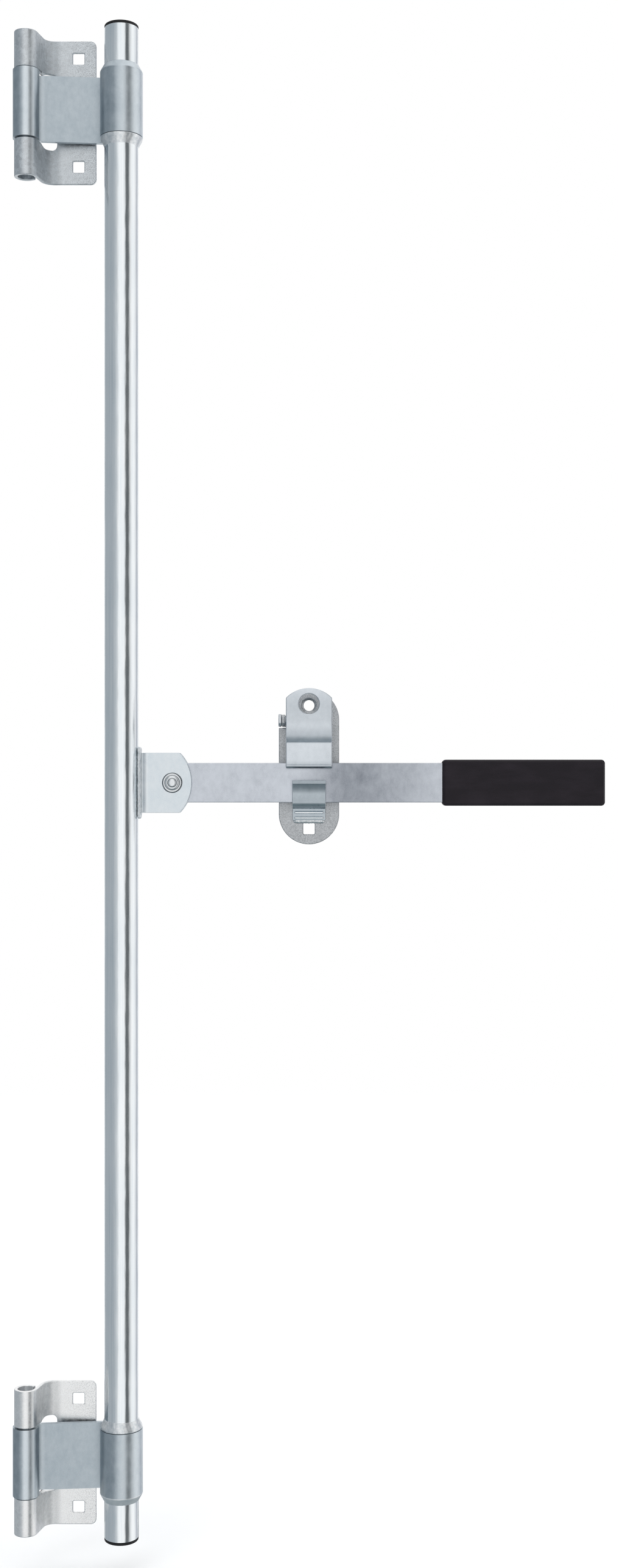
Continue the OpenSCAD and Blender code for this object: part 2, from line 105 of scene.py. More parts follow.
# %% The wire class
class Wire:
    """One output socket of a node tree, usable in sums."""

    def __init__(self, socket):
        self.socket = socket
        self.tree = socket.id_data

    @staticmethod
    def node(tree, kind, settings, sockets, out=0):
        made = tree.nodes.new(kind)
        for key, value in settings.items():
            if key == "stops":
                ramp = made.color_ramp
                while len(ramp.elements) < len(value):
                    ramp.elements.new(1.0)
                for stop, (place, level) in zip(ramp.elements, value):
                    stop.position = place
                    stop.color = (level, level, level, 1)
            else:
                setattr(made, key, value)
        for key, value in sockets.items():
            if isinstance(value, Wire):
                tree.links.new(value.socket, made.inputs[key])
            else:
                made.inputs[key].default_value = value
        return Wire(made.outputs[out]) if made.outputs else None

    def _math(self, operation, first, second):
        return Wire.node(self.tree, "ShaderNodeMath", {"operation": operation}, {0: first, 1: second})

    def __add__(self, other):
        return self._math("ADD", self, other)

    def __radd__(self, other):
        return self._math("ADD", other, self)

    def __sub__(self, other):
        return self._math("SUBTRACT", self, other)

    def __rsub__(self, other):
        return self._math("SUBTRACT", other, self)

    def __mul__(self, other):
        return self._math("MULTIPLY", self, other)

    def __rmul__(self, other):
        return self._math("MULTIPLY", other, self)

    def ramp(self, *stops):
        """This value run through a ramp of (place, level) stops."""
        return Wire.node(self.tree, "ShaderNodeValToRGB", {"stops": stops}, {"Fac": self})

    def tint(self, low, high):
        """A colour between low where this value is 0 and high where it is 1."""
        ends = {0: self, 6: (*low, 1), 7: (*high, 1)}
        return Wire.node(self.tree, "ShaderNodeMix", {"data_type": "RGBA"}, ends, 2)


print("wires ready: sums, ramps and tints")

# %% [markdown]
# The studio is a white room. Camera, metal and glass all see the same plain white,
# so the picture's background and the reflections agree.
# Light Path nodes tell which rays those are; every other ray gets the room's soft light.

# %% Studio world
ROOM_LIGHT = 0.95
ROOM_TINT = (0.97, 0.985, 1.0, 1)
WHITE = (1, 1, 1, 1)

world = bpy.data.worlds.new("studio")
scene.world = world
world.use_nodes = True
sky = world.node_tree
sky.nodes.clear()
room = Wire.node(sky, "ShaderNodeBackground", {}, {"Color": ROOM_TINT, "Strength": ROOM_LIGHT})
white = Wire.node(sky, "ShaderNodeBackground", {}, {"Color": WHITE, "Strength": 1.0})
from_camera, from_metal, from_glass = (
    Wire.node(sky, "ShaderNodeLightPath", {}, {}, f"Is {kind} Ray")
    for kind in ("Camera", "Glossy", "Transmission"))
sees_white = from_camera + from_metal + from_glass
mixed = Wire.node(sky, "ShaderNodeMixShader", {}, {0: sees_white, 1: room, 2: white})
Wire.node(sky, "ShaderNodeOutputWorld", {}, {"Surface": mixed})
print("room light:", ROOM_LIGHT)

# %% [markdown]
# A bright metal tube in an all-white room would look flat, because it mirrors nothing but white.
# Photographers stand grey and black cards round the object, and the tube shows them as stripes.
# A card is a plain rectangle that glows with its own grey and fades out across its width.
# It is seen by reflections alone, so it never stands in front of the camera.


# %% Card helper
def card(name, middle, width, height, turn, level, cover, tip=0):
    """A card of so many metres, turned about Z and tipped about X by degrees; cover says how it fades."""
    mesh = bpy.data.meshes.new(name)
    corners = [(-0.5, -0.5), (0.5, -0.5), (0.5, 0.5), (-0.5, 0.5)]
    mesh.from_pydata([(x * width, 0, z * height) for x, z in corners], [], [(0, 1, 2, 3)])
    made = bpy.data.objects.new(name, mesh)
    made.location = middle
    made.rotation_euler = (math.radians(tip), 0, math.radians(turn))
    scene.collection.objects.link(made)
    for kind in ("camera", "diffuse", "shadow", "transmission"):
        setattr(made, "visible_" + kind, False)
    skin = bpy.data.materials.new(name)
    skin.use_nodes = True
    tree = skin.node_tree
    tree.nodes.clear()
    place = Wire.node(tree, "ShaderNodeTexCoord", {}, {}, "Object")
    across = Wire.node(tree, "ShaderNodeSeparateXYZ", {}, {0: place}, "X") * (1 / width) + 0.5
    glow = Wire.node(tree, "ShaderNodeEmission", {}, {"Color": (*level, 1), "Strength": 1.0})
    clear = Wire.node(tree, "ShaderNodeBsdfTransparent", {}, {})
    blended = Wire.node(tree, "ShaderNodeMixShader", {}, {0: across.ramp(*cover), 1: clear, 2: glow})
    Wire.node(tree, "ShaderNodeOutputMaterial", {}, {"Surface": blended})
    mesh.materials.append(skin)
    return made


print("card helper ready")

# %% [markdown]
# Four cards stand round the bar. The long grey one shades the left half of everything round,
# and it fades slowly, so the tube's white middle begins softly.
# The dark one draws the thin stripe right of the middle.
# The one at the right rear keeps the tube's right edge apart from the white background,
# and the low one darkens what faces down.

# %% Reflection cards
EVEN = ((0, 0), (0.1, 1), (0.9, 1), (1, 0))
SLOW_START = ((0, 0), (0.05, 0.3), (0.3, 0.6), (0.58, 1), (0.93, 1), (1, 0))
LATE = ((0, 0), (0.6, 1), (0.9, 1), (1, 0))
ONE_SIDED = ((0, 0), (0.15, 1), (0.5, 1), (0.68, 0.3), (1, 0))

cards = [
    card("left_grey_card", middle=(-2.6, -3.1, 0), width=14, height=8, turn=90,
         level=(0.37, 0.405, 0.435), cover=SLOW_START),
    card("right_dark_card", middle=(2.49, -1.83, 0), width=3, height=8, turn=53,
         level=(0.11, 0.12, 0.125), cover=ONE_SIDED),
    card("right_rear_card", middle=(2.6, 1.9, 0), width=3, height=8, turn=90,
         level=(0.42, 0.44, 0.49), cover=LATE),
    card("low_dark_card", middle=(0.2, 0.9, -1.9), width=3, height=5, turn=0,
         level=(0.22, 0.27, 0.29), cover=EVEN, tip=-90),
]
print("cards:", [made.name for made in cards])

# %% [markdown]
# Every finish below is a Principled shader fed by a few kinds of noise.
# These helpers keep the recipes short: a new surface, a place on the object, patches, and a relief.
# Places are in metres on the solid itself, so a pattern has the same grain on every piece
# and stays on its piece when the handle or the flap moves.


# %% Surface helpers
def surface(name, **fixed):
    """A new material with a Principled shader: returns the material, its tree and the shader node."""
    made = bpy.data.materials.new(name)
    made.use_nodes = True
    shader = made.node_tree.nodes["Principled BSDF"]
    for key, value in fixed.items():
        shader.inputs[key.replace("_", " ")].default_value = value
    return made, made.node_tree, shader


def feed(shader, **wires):
    """Links wires to the shader's sockets."""
    for key, wire in wires.items():
        shader.id_data.links.new(wire.socket, shader.inputs[key.replace("_", " ")])


def spot(tree, stretch=(1, 1, 1)):
    """Where a point lies on the object, in metres, stretched per axis."""
    place = Wire.node(tree, "ShaderNodeTexCoord", {}, {}, "Object")
    return Wire.node(tree, "ShaderNodeVectorMath", {"operation": "MULTIPLY"}, {0: place, 1: stretch})


def mottle(place, per_metre, detail=3.0, rough=0.55):
    """Soft random patches, so many to the metre, from 0 to 1."""
    return Wire.node(place.tree, "ShaderNodeTexNoise", {},
                     {"Vector": place, "Scale": per_metre, "Detail": detail, "Roughness": rough})


def relief(height, depth, strength=1.0):
    """A Bump that makes height 0..1 look depth metres tall."""
    return Wire.node(height.tree, "ShaderNodeBump", {},
                     {"Height": height, "Distance": depth, "Strength": strength})


print("surface helpers ready")

# %% [markdown]
# A pale floor below the bar catches its soft shadow. It is plain paper, nearly white,
# with a faint mottle, and the room's even light brings it to the white of the background.

# %% Floor
FLOOR_GAP = 25 * MM
FLOOR_HALF = 2.2
PAPER_GREY = (0.97, 0.97, 0.97)
PAPER_PALE = (0.99, 0.99, 0.99)
PAPER_PATCHES = 40

paper, tree, shader = surface("floor_paper", Roughness=0.9, Specular_IOR_Level=0.1,
                              Emission_Color=WHITE, Emission_Strength=0.1)
feed(shader, Base_Color=mottle(spot(tree), PAPER_PATCHES).tint(PAPER_GREY, PAPER_PALE))
floor_z = cad_box[0].z - FLOOR_GAP
corners = [(-1, -1), (1, -1), (1, 1), (-1, 1)]
floor_mesh = bpy.data.meshes.new("floor")
floor_mesh.from_pydata([(x * FLOOR_HALF, y * FLOOR_HALF, floor_z) for x, y in corners], [], [(0, 1, 2, 3)])
floor_mesh.materials.append(paper)
floor = bpy.data.objects.new("floor", floor_mesh)
floor.visible_glossy = False
scene.collection.objects.link(floor)
print("floor at", round(floor_z, 4), "m")

# %% [markdown]
# Two large soft lamps, high on the left and level on the right, light the plastic and the paper.
# Reflections don't see them, so they leave no hot spots in the zinc.


# %% Lamps
def area_lamp(name, place, size, power):
    """A square lamp of so many metres and watts that looks at the tube's middle."""
    data = bpy.data.lights.new(name, "AREA")
    data.shape = "SQUARE"
    data.size = size
    data.energy = power
    lamp = bpy.data.objects.new(name, data)
    lamp.location = place
    lamp.rotation_euler = (tube_middle - Vector(place)).to_track_quat("-Z", "Y").to_euler()
    lamp.visible_glossy = False
    scene.collection.objects.link(lamp)


area_lamp("high_left_lamp", place=(-1.1, -2.0, 1.5), size=1.1, power=6)
area_lamp("right_lamp", place=(2.3, -0.7, 0.3), size=0.9, power=3)
print("lamps: 2")

# %% [markdown]
# Drawn tube under bright zinc: nearly a mirror, with fine streaks along its length
# where the drawing die and later handling scratched it.
# Noise stretched almost a hundredfold along Z gives the streaks; they change tint, gloss and height together.
# No tube is perfectly straight to a mirror: a slow wave, a fraction of a millimetre deep,
# makes the reflected stripes wander as they do on the real one.

# %% Zinc on the tube
STREAK_STRETCH = (1, 1, 0.012)
CLOUD_STRETCH = (1, 1, 0.35)
WAVE_STRETCH = (1, 1, 0.3)

zinc_tube, tree, shader = surface("zinc_tube", Metallic=1.0)
streak = mottle(spot(tree, STREAK_STRETCH), 900, 4.0, 0.6)
cloud = mottle(spot(tree, CLOUD_STRETCH), 55)
speck = mottle(spot(tree), 1600, 2.0)
wave = mottle(spot(tree, WAVE_STRETCH), 90, 2.0)
tone = 0.55 * streak + 0.35 * cloud + 0.1 * speck
feed(shader,
     Base_Color=tone.ramp((0.32, 0), (0.68, 1)).tint((0.76, 0.82, 0.86), (0.97, 0.99, 1.0)),
     Roughness=0.11 + 0.09 * streak + 0.07 * cloud,
     Normal=relief(wave + 0.05 * streak + 0.03 * speck, 0.3 * MM))
print("zinc_tube nodes:", len(tree.nodes))

# %% [markdown]
# Pressed and bent sheet carries a duller zinc: it comes out of the bath with soft clouds and tiny pits.
# Three sizes of noise are enough, because the eye reads the mix of sizes rather than any one of them.
# On some pieces stretches are painted brighter or darker, as painted highlight and shade, and a press tool
# leaves its bends matte.
# Both change along one axis of the piece, so a ramp along that axis carries them.

# %% Sheet zinc
PRESSED_MATTE = 0.25


def run_along(tree, axis, start, end, *stops):
    """A level that changes along one axis of the object, between two places in metres."""
    along = Wire.node(tree, "ShaderNodeSeparateXYZ", {}, {0: spot(tree)}, axis)
    return ((along - start) * (1 / (end - start))).ramp(*stops)


def sheet_zinc(name, dark, pale, smooth, dull, painted_light=None, pressed=None):
    """Zinc with a roughness from smooth to dull; painted_light is a zone of painted light and shade and
    pressed a zone of matte bends, both for run_along.
    """
    made, tree, shader = surface(name, Metallic=1.0)
    cloud = mottle(spot(tree), 60, 4.0, 0.6)
    patch = mottle(spot(tree, (1.3, 1, 0.8)), 230)
    pit = mottle(spot(tree), 1500, 2.0, 0.7)
    tone = (0.45 * cloud + 0.35 * patch + 0.2 * pit).ramp((0.34, 0), (0.66, 1))
    # The zone's painted light and shade sets most of the tone
    if painted_light:
        tone = 0.8 * run_along(tree, *painted_light) + 0.45 * tone - 0.12
    rough = smooth + (dull - smooth) * (0.6 * cloud + 0.4 * patch).ramp((0.3, 0), (0.7, 1))
    if pressed:
        rough = rough + PRESSED_MATTE * run_along(tree, *pressed)
    feed(shader,
         Base_Color=tone.tint(dark, pale),
         Roughness=rough,
         Normal=relief(0.7 * patch + 0.3 * pit, 0.09 * MM, 0.45))
    return made


print("sheet zinc ready, matte bends +", PRESSED_MATTE)

# %% [markdown]
# A zone names an axis, the two places it runs between, and its (place, level) stops from 0 to 1.
# Where a zone covers a whole piece, the piece's own box gives the two places.
# The leaf's zone of painted light runs from the hinge's knuckle across the strip to the sleeve: a painted
# highlight on the knuckle, a plain grey strip, and a sleeve painted brighter towards its right side.

# %% Painted light and pressed zones
clevis_left, clevis_right = (corner.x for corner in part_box("clevis"))
flap_low, flap_high = (corner.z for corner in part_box("flap_plate"))
hook_foot, hook_top = (corner.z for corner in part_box("keeper_hook"))

# Painted highlight on the knuckle, painted light and shade across the sleeve
LEAF_PAINTED_LIGHT = ("X", -10 * MM, 100 * MM, (0.0, 0.0), (0.05, 0.12), (0.09, 1.0), (0.17, 1.0), (0.22, 0.196),
            (0.70, 0.196), (0.73, 0.08), (0.80, 0.72), (0.88, 0.92))
# Painted shadow of the keeper on the handle: darkest beside the flap, fading out to the right
HANDLE_PAINTED_SHADE = ("X", 200 * MM, 330 * MM, (0.12, 0.95), (0.38, 0.10), (0.52, 0.18), (0.72, 0.45), (0.95, 0.8))
# Painted highlight along the clevis's bend at the tube, the rest a plain grey
CLEVIS_PAINTED_HIGHLIGHT = ("X", clevis_left, clevis_right, (0.08, 1.0), (0.2, 0.24), (1.0, 0.2))
# Painted light and shade on the flap: shade at its lower edge, light over the strip and joggle, a darker band
# on the tab above and a highlight at the top
FLAP_PAINTED_LIGHT = ("Z", flap_low, flap_high, (0.0, 0.2), (0.05, 0.3), (0.10, 0.8), (0.30, 0.95), (0.36, 0.9),
            (0.46, 0.9), (0.51, 0.85), (0.60, 0.55), (0.84, 0.55), (0.97, 0.9))
FLAP_BEND = ("Z", flap_low, flap_high, (0.30, 0), (0.37, 1), (0.45, 1), (0.55, 0))
HOOK_BEND = ("Z", hook_foot, hook_top, (0.40, 0), (0.50, 0.6), (0.66, 0.3), (0.74, 1), (1.0, 1))
print("flap from", round(flap_low / MM, 1), "to", round(flap_high / MM, 1), "mm up")

# %% [markdown]
# One recipe serves all sheet parts, pins included. Each kind of part has its own pair of greys,
# because parts from different batches and with different wear never match. The pale greys of the hook's ribs
# and of the lower sleeve neck are painted light, since they are the same zinc as the hook and the sleeve.

# %% Sheet finishes
zinc_sheet = sheet_zinc("zinc_sheet", (0.36, 0.42, 0.465), (0.72, 0.78, 0.82), 0.30, 0.42, painted_light=LEAF_PAINTED_LIGHT)
zinc_handle = sheet_zinc("zinc_handle", (0.22, 0.24, 0.275), (0.62, 0.655, 0.71), 0.22, 0.36,
                         painted_light=HANDLE_PAINTED_SHADE)
zinc_hook = sheet_zinc("zinc_hook", (0.39, 0.44, 0.48), (0.54, 0.60, 0.64), 0.22, 0.36, pressed=HOOK_BEND)
zinc_flap = sheet_zinc("zinc_flap", (0.40, 0.44, 0.475), (0.74, 0.785, 0.83), 0.26, 0.38,
                       painted_light=FLAP_PAINTED_LIGHT, pressed=FLAP_BEND)
zinc_clevis = sheet_zinc("zinc_clevis", (0.60, 0.67, 0.72), (0.96, 0.98, 0.99), 0.24, 0.38,
                         painted_light=CLEVIS_PAINTED_HIGHLIGHT)
# Painted highlight: the ribs are the hook's own zinc, painted paler
zinc_rib_painted_highlight = sheet_zinc("zinc_rib_painted_highlight", (0.74, 0.79, 0.83), (0.95, 0.97, 0.98), 0.16, 0.26)
# Painted light: the lower neck is the sleeve's zinc, painted paler against the shade it faces
zinc_neck_painted_light = sheet_zinc("zinc_neck_painted_light", (0.80, 0.84, 0.87), (0.98, 0.99, 1.0), 0.42, 0.55)
steel_pin = sheet_zinc("steel_pin", (0.44, 0.47, 0.50), (0.72, 0.75, 0.78), 0.22, 0.36)
sheet_finishes = (zinc_sheet, zinc_handle, zinc_hook, zinc_flap, zinc_clevis, zinc_rib_painted_highlight, zinc_neck_painted_light, steel_pin)
print("sheet finishes:", [made.name for made in sheet_finishes])

# %% [markdown]
# The fixed leaves and the keeper's plate show a spangle: small zinc crystals,
# each with its own tilt, so each mirrors a different part of the room.
# Voronoi cells with one random grey per cell are just that, and a warp breaks the cell borders up.
# Dark specks, where the zinc has begun to dull, sit on top and grow denser away from the knuckles.
# The leaf's bend is matte from the press.

# %% Spangled zinc
LEAF_BEND = ("X", 8 * MM, 26 * MM, (0, 0), (0.3, 1), (0.75, 1), (1, 0))
LEAF_SPECKS = ("X", 16 * MM, 50 * MM, (0, 0.1), (0.5, 0.5), (1, 1))
WARPS_PER_METRE = 500.0
WARP_REACH = 2.2 * MM


def spangled_zinc(name, dark, pale, cells, calm, specks, rough, speck_zone=None):
    """So many crystals to the metre; calm is the least brightness and specks the depth of the dark specks."""
    made, tree, shader = surface(name, Metallic=1.0)
    place = spot(tree)
    warp = Wire.node(tree, "ShaderNodeTexNoise", {},
                     {"Vector": place, "Scale": WARPS_PER_METRE, "Detail": 2.0}, "Color")
    bent = Wire.node(tree, "ShaderNodeVectorMath", {"operation": "MULTIPLY_ADD"},
                     {0: warp, 1: (WARP_REACH, WARP_REACH, WARP_REACH), 2: place})
    crystal = Wire.node(tree, "ShaderNodeTexVoronoi", {}, {"Vector": bent, "Scale": cells}, "Color")
    grey = Wire.node(tree, "ShaderNodeSeparateColor", {}, {"Color": crystal}, "Red")
    fine = mottle(place, 1300, 3.0, 0.65)
    cloud = mottle(place, 70)
    bright = calm + (1 - calm) * (0.3 * grey + 0.4 * fine + 0.3 * cloud).ramp((0.28, 0), (0.70, 1))
    speck = specks * fine.ramp((0.34, 1), (0.52, 0))
    if speck_zone:
        speck = speck * run_along(tree, *speck_zone)
    feed(shader,
         Base_Color=(bright * (1 - speck)).tint(dark, pale),
         Roughness=rough + 0.10 * grey + 0.08 * fine + PRESSED_MATTE * run_along(tree, *LEAF_BEND),
         Normal=relief(0.5 * grey + 0.5 * fine, 0.05 * MM, 0.25))
    return made


print("crystals bent by up to", WARP_REACH / MM, "mm")

# %% [markdown]
# The upper leaf has the plain spangle. The lower leaf has the same spangle painted much brighter, as painted
# light, and the keeper's plate is darker, with crystals about half the size.

# %% Spangled finishes
zinc_spangle = spangled_zinc("zinc_spangle", (0.24, 0.255, 0.27), (0.73, 0.77, 0.80),
                             cells=480, calm=0.62, specks=0.8, rough=0.34, speck_zone=LEAF_SPECKS)
# Painted light: the lower leaf's brighter copy of the same spangled zinc
zinc_painted_bright = spangled_zinc("zinc_painted_bright", (0.36, 0.375, 0.385), (0.98, 0.985, 0.985),
                            cells=480, calm=0.76, specks=0.7, rough=0.26, speck_zone=LEAF_SPECKS)
zinc_speckle = spangled_zinc("zinc_speckle", (0.14, 0.15, 0.16), (0.60, 0.62, 0.64),
                             cells=900, calm=0.52, specks=0.42, rough=0.28)
print("spangled finishes:", zinc_spangle.name, zinc_painted_bright.name, zinc_speckle.name)

# %% [markdown]
# The weld beads went into the zinc bath with the rest, so they are bright,
# but their rippled skin scatters the light. Small dark pores stay where slag came off.

# %% Weld finish
weld_bead, tree, shader = surface("weld_bead", Metallic=1.0)
blotch = mottle(spot(tree), 380, 4.0, 0.65)
pore = mottle(spot(tree), 1300, 2.0, 0.6).ramp((0.30, 0), (0.42, 1))
shine = blotch.ramp((0.3, 0), (0.7, 1)) * (0.45 + 0.55 * pore)
feed(shader,
     Base_Color=shine.tint((0.62, 0.67, 0.70), (0.96, 0.97, 0.98)),
     Roughness=0.28 + 0.14 * blotch,
     Normal=relief(0.7 * blotch + 0.3 * pore, 0.10 * MM, 0.3))
print("weld_bead nodes:", len(tree.nodes))

# %% [markdown]
# The grip and the end caps are black moulded plastic. It is never quite black:
# the mould's fine grain breaks the gloss, and dust and rubbing leave it a little greyer in places.


# %% Black plastic
def black_plastic(name, deep, worn, rough, grain_per_metre):
    """Grained plastic between a deep black and a worn one."""
    made, tree, shader = surface(name, Metallic=0.0, Specular_IOR_Level=0.22)
    grain = mottle(spot(tree), grain_per_metre, 3.0, 0.6)
    rub = mottle(spot(tree, (0.5, 1, 1.6)), 70, 4.0, 0.6).ramp((0.42, 0), (0.72, 1))
    feed(shader,
         Base_Color=(0.6 * rub + 0.4 * grain).tint(deep, worn),
         Roughness=rough + 0.12 * grain + 0.06 * rub,
         Normal=relief(grain, 0.1 * MM, 0.5))
    return made


black_grip = black_plastic("black_grip", (0.007, 0.005, 0.008), (0.020, 0.015, 0.021), 0.46, 1700)
black_cap = black_plastic("black_cap", (0.008, 0.008, 0.009), (0.030, 0.030, 0.032), 0.40, 1200)
print("plastics:", black_grip.name, black_cap.name)

# %% [markdown]
# Every solid takes the finish of the slot that the record names for it,
# apart from six that have a variant of that finish of their own.
# Real sheet has no razor edges, so each solid also gets a small bevel on its sharp edges.
# Modifiers do that without touching the solid's own mesh: Weld joins the split corners,
# a planar Decimate turns fans of triangles back into whole flat faces,
# Bevel rounds what is sharper than a bend's facets, and Weighted Normal keeps flat faces flat.

# %% Finishes and edges
FINISHES = {
    "zinc_tube": zinc_tube, "zinc_sheet": zinc_sheet, "zinc_spangle": zinc_spangle, "steel_pin": steel_pin,
    "weld_bead": weld_bead, "black_cap": black_cap, "black_grip": black_grip,
}
VARIED = {
    "clevis": zinc_clevis, "flap_plate": zinc_flap, "handle_bar": zinc_handle, "keeper_hook": zinc_hook,
    "keeper_base_plate": zinc_speckle, "lower_fixed_leaf": zinc_painted_bright,
}
EDGE = 0.35 * MM
EDGES = {
    "handle_grip": 0.8 * MM, "handle_bar": 0.6 * MM, "bar_tube": 0.3 * MM,
    "flap_plate": 0.7 * MM, "keeper_base_plate": 0.7 * MM,
    "upper_swing_leaf": 0.8 * MM, "lower_swing_leaf": 0.8 * MM,
    "upper_fixed_leaf": 0.7 * MM, "lower_fixed_leaf": 0.7 * MM,
}
SAME_CORNER = 0.002 * MM
SAME_PLANE = math.radians(0.4)
SHARP = math.radians(35)


def soften(piece, width, clamp):
    """Rounds the sharp edges of a solid; clamp keeps the rounding from running over short edges."""
    piece.data.polygons.foreach_set("use_smooth", [True] * len(piece.data.polygons))
    weld = piece.modifiers.new("weld", "WELD")
    weld.merge_threshold = SAME_CORNER
    flat = piece.modifiers.new("flat", "DECIMATE")
    flat.decimate_type = "DISSOLVE"
    flat.angle_limit = SAME_PLANE
    bevel = piece.modifiers.new("bevel", "BEVEL")
    bevel.width = width
    bevel.segments = 2
    bevel.limit_method = "ANGLE"
    bevel.angle_limit = SHARP
    bevel.use_clamp_overlap = clamp
    bevel.harden_normals = False
    normal = piece.modifiers.new("normal", "WEIGHTED_NORMAL")
    normal.keep_sharp = False


slot_of = {row["node"]: row["material_slot"] for row in frame["record"]["subparts"]}
for name, piece in frame["nodes"].items():
    piece.data.materials.clear()
    piece.data.materials.append(VARIED.get(name) or FINISHES[slot_of[name]])
    soften(piece, EDGES.get(name, EDGE), name.endswith("swing_leaf"))
print("dressed solids:", len(frame["nodes"]))

# %% [markdown]
# The new pieces are all skins over rings of points, one ring after the other.
# A skin is either closed on itself, as a collar round the tube is, or has a flat face at each end.
# A piece then rides the body it is fixed to, and it may stand in for the solid of the same part.


# %% New pieces
def ring_skin(name, rings, closed=False):
    """A smooth object over rings of points; closed joins the last ring to the first."""
    shape = bmesh.new()
    loops = [[shape.verts.new(point) for point in ring] for ring in rings]
    for low, high in zip(loops, loops[1:] + loops[:1] if closed else loops[1:]):
        for k in range(len(low)):
            n = (k + 1) % len(low)
            shape.faces.new((low[k], low[n], high[n], high[k]))
    if not closed:
        shape.faces.new(reversed(loops[0]))
        shape.faces.new(loops[-1])
    bmesh.ops.recalc_face_normals(shape, faces=shape.faces)
    mesh = bpy.data.meshes.new(name)
    shape.to_mesh(mesh)
    shape.free()
    mesh.polygons.foreach_set("use_smooth", [True] * len(mesh.polygons))
    return bpy.data.objects.new(name, mesh)


def add_piece(piece, body, slot, finish):
    """Puts a new piece on a body, in the given finish; slot is not used."""
    scene.collection.objects.link(piece)
    piece.data.materials.append(finish)
    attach(piece, body)


def stand_in(piece, body, node, finish=None):
    """Puts a new piece in place of a solid, by default in the solid's own finish."""
    add_piece(piece, body, slot_of[node], finish or FINISHES[slot_of[node]])
    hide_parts(node)


print("skins ready")

# %% [markdown]
# Turned pieces, such as caps and rivets, come from a lathe: a half outline spun round an axis.
# The helper takes the outline as (radius, height) pairs and can shake the radius,
# so the same lathe also lays the rough welds round the tube.

# %% Lathe
AROUND = 96


def lathe(name, outline, place, around=AROUND, shake=None, closed=False):
    """Spins (radius, height) pairs round the line that place(r, angle, h) describes."""
    angles = [2 * math.pi * k / around for k in range(around)]
    rings = [[place(r + (shake(a, r, h) if shake else 0), a, h) for a in angles] for r, h in outline]
    return ring_skin(name, rings, closed)


def upright(low, high):
    """A place on a lathe whose axis stands along Z in the middle of a box."""
    x, y = (low.x + high.x) / 2, (low.y + high.y) / 2
    return lambda r, angle, h: (x + r * math.cos(angle), y + r * math.sin(angle), h)


def arc(middle, radius, start, end, steps):
    """Points round a quarter or so of a circle, as (radius, height) pairs."""
    turns = [math.radians(start + (end - start) * k / steps) for k in range(steps + 1)]
    return [(middle[0] + radius * math.cos(t), middle[1] + radius * math.sin(t)) for t in turns]


print("lathe ready,", AROUND, "steps round")

# %% [markdown]
# The tube's ends are closed by pushed-in plastic caps. What shows is a low disc
# with a soft rim and a shallow dish, with the small gate mark in its middle.
# Behind the disc a plug with a lead-in sits in the tube.
# The outline runs from the plug's end to the middle of the disc.

# %% End caps
CAP_SHY = 0.05 * MM
CAP_HEAD = 2.5 * MM
CAP_STEP = 2.6 * MM
LEAD_IN, LEAD_UP = 0.6 * MM, 1 * MM
RIM_SOFT = 1.1 * MM
RIM_WIDE, DISH_EDGE = 3.2 * MM, 4.2 * MM
DISH = 0.5 * MM
# Pairs of radius and depth below the cap's tip, from the foot of the gate mark to its middle
GATE_LINE = [(1.6 * MM, DISH), (1.3 * MM, 0.2 * MM), (0.3 * MM, 0.1 * MM)]

for side, name in ((1, "upper_end_cap"), (-1, "lower_end_cap")):
    low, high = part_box(name)
    radius = (high.x - low.x) / 2 - CAP_SHY
    tip, plug = (high.z, low.z) if side > 0 else (low.z, high.z)
    seat = tip - side * CAP_HEAD
    bore = radius - CAP_STEP
    rim = [(r, RIM_SOFT - h) for r, h in arc((radius - RIM_SOFT, 0), RIM_SOFT, 0, 90, 6)]
    face = rim + [(radius - RIM_WIDE, 0), (radius - DISH_EDGE, DISH)] + GATE_LINE
    outline = [(bore - LEAD_IN, plug), (bore, plug + side * LEAD_UP), (bore, seat), (radius, seat)]
    outline += [(r, tip - side * depth) for r, depth in face]
    stand_in(lathe(name + "_moulded", outline, upright(low, high)), "bar", name)
print("caps: 2, radius", round(radius / MM, 2), "mm")

# %% [markdown]
# The rivet joins the handle to its clevis. Its heads were peened: hammered round the rim,
# so each shows a flat washer-like rim, two ring-shaped hollows and a button in the middle.
# Here the lathe's axis lies along Y, through the clevis, and the shaken radius gives the hammer marks.

# %% Rivet
HEAD_SHY = 0.05 * MM
HEAD_H = 3 * MM
SHANK = 5 * MM
PEEN_DEPTH = 0.14 * MM
PEEN_LUMPS = 2.2
PEEN_PER_METRE = 300
# Pairs of (share of the head's radius, height above the clevis in mm), from the rim inwards
HEAD_LINE = [(0.99, 0.0), (1.0, 0.4), (0.985, 0.85), (0.94, 1.25), (0.87, 1.52), (0.79, 1.6),
             (0.74, 1.38), (0.705, 1.36), (0.67, 1.7), (0.62, 2.05), (0.55, 2.3), (0.49, 2.36),
             (0.45, 2.12), (0.42, 2.14), (0.385, 2.5), (0.33, 2.8), (0.24, 2.96), (0.06, 3.0)]

low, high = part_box("pivot_rivet")
rivet_x, rivet_y, rivet_z = (low + high) / 2
half = (high.y - low.y) / 2
head = (high.x - low.x) / 2 - HEAD_SHY
front = [(head * share, half - HEAD_H + up * MM) for share, up in HEAD_LINE]
rear = [(r, -h) for r, h in reversed(front)]
outline = rear + [(SHANK, HEAD_H - half), (SHANK, half - HEAD_H)] + front


def through_clevis(r, angle, h):
    return rivet_x + r * math.cos(angle), rivet_y - h, rivet_z + r * math.sin(angle)


def peen(angle, radius, height):
    """Hammer marks, on all that is wider than the shank."""
    lump = Vector((math.cos(angle) * PEEN_LUMPS, math.sin(angle) * PEEN_LUMPS, height * PEEN_PER_METRE))
    return PEEN_DEPTH * noise.noise(lump) * (radius > SHANK)


rivet = lathe("pivot_rivet_peened", outline, through_clevis, shake=peen)
print("rivet head", round(2 * head / MM, 1), "mm across")
